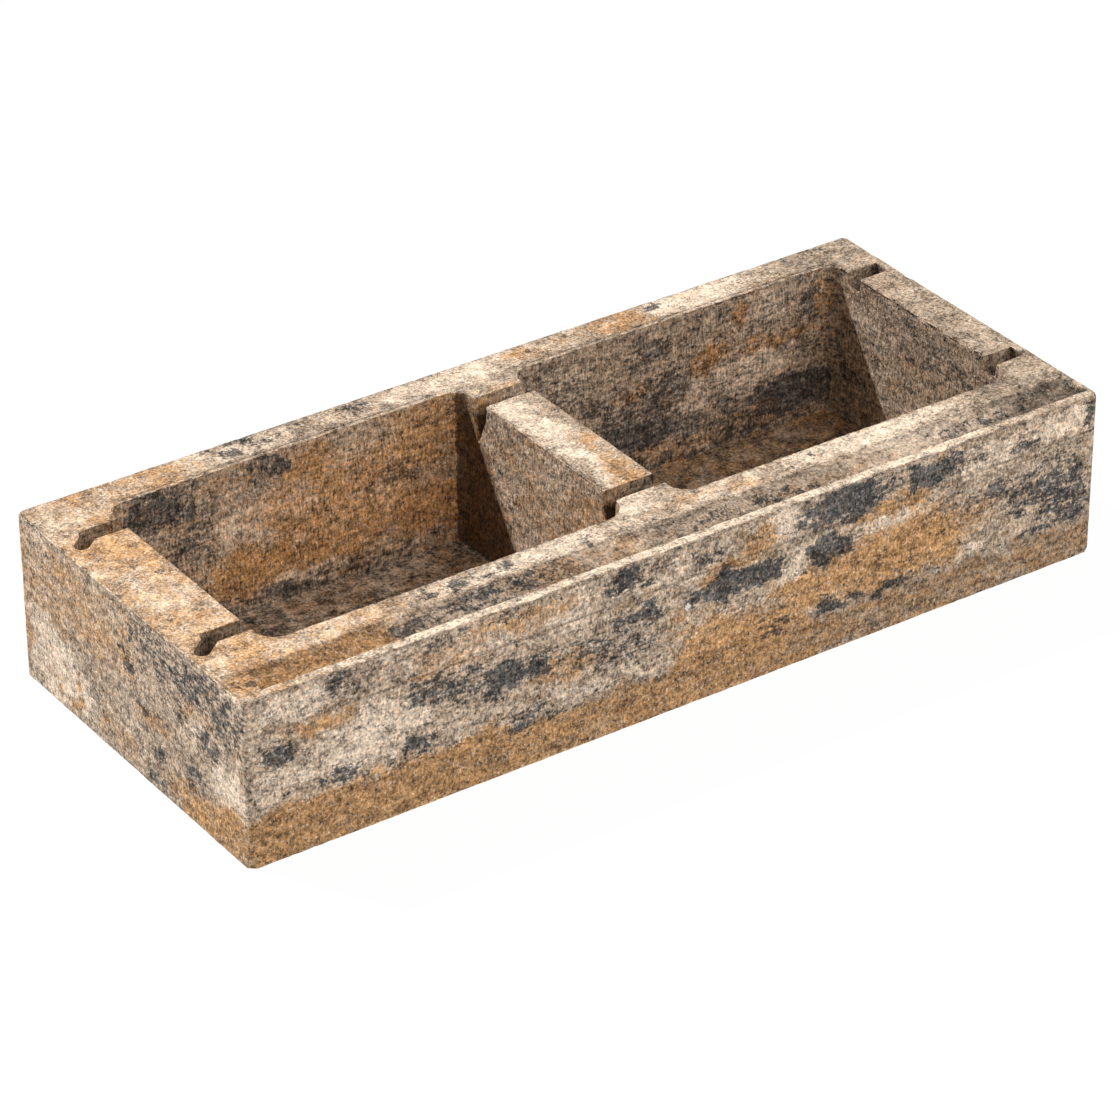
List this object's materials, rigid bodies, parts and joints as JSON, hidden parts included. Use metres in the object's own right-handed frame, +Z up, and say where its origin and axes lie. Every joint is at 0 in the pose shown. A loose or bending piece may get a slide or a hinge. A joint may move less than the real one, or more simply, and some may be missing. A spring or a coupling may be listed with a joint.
{
  "type": "hollow concrete wall block",
  "caption": "Low hollow concrete wall block with two chambers open at the top and closed below by a thin floor, a cross web, break lines in web and end walls, and a lipped trough along the top of its show face.",
  "frame": {"origin": "middle of the underside, at the centre of the block's bounding box", "axes": "+X along the block's length towards the end with the thin end wall, -Y out of the show face, +Z up, as the block is laid"},
  "size_m": [0.6, 0.25, 0.11],
  "materials": {
    "concrete": "dry-cast concrete, fine open grain, cream, ochre and anthracite clouded together"
  },
  "bodies": {
    "root": {"concrete_block": "concrete"}
  },
  "joints": []
}
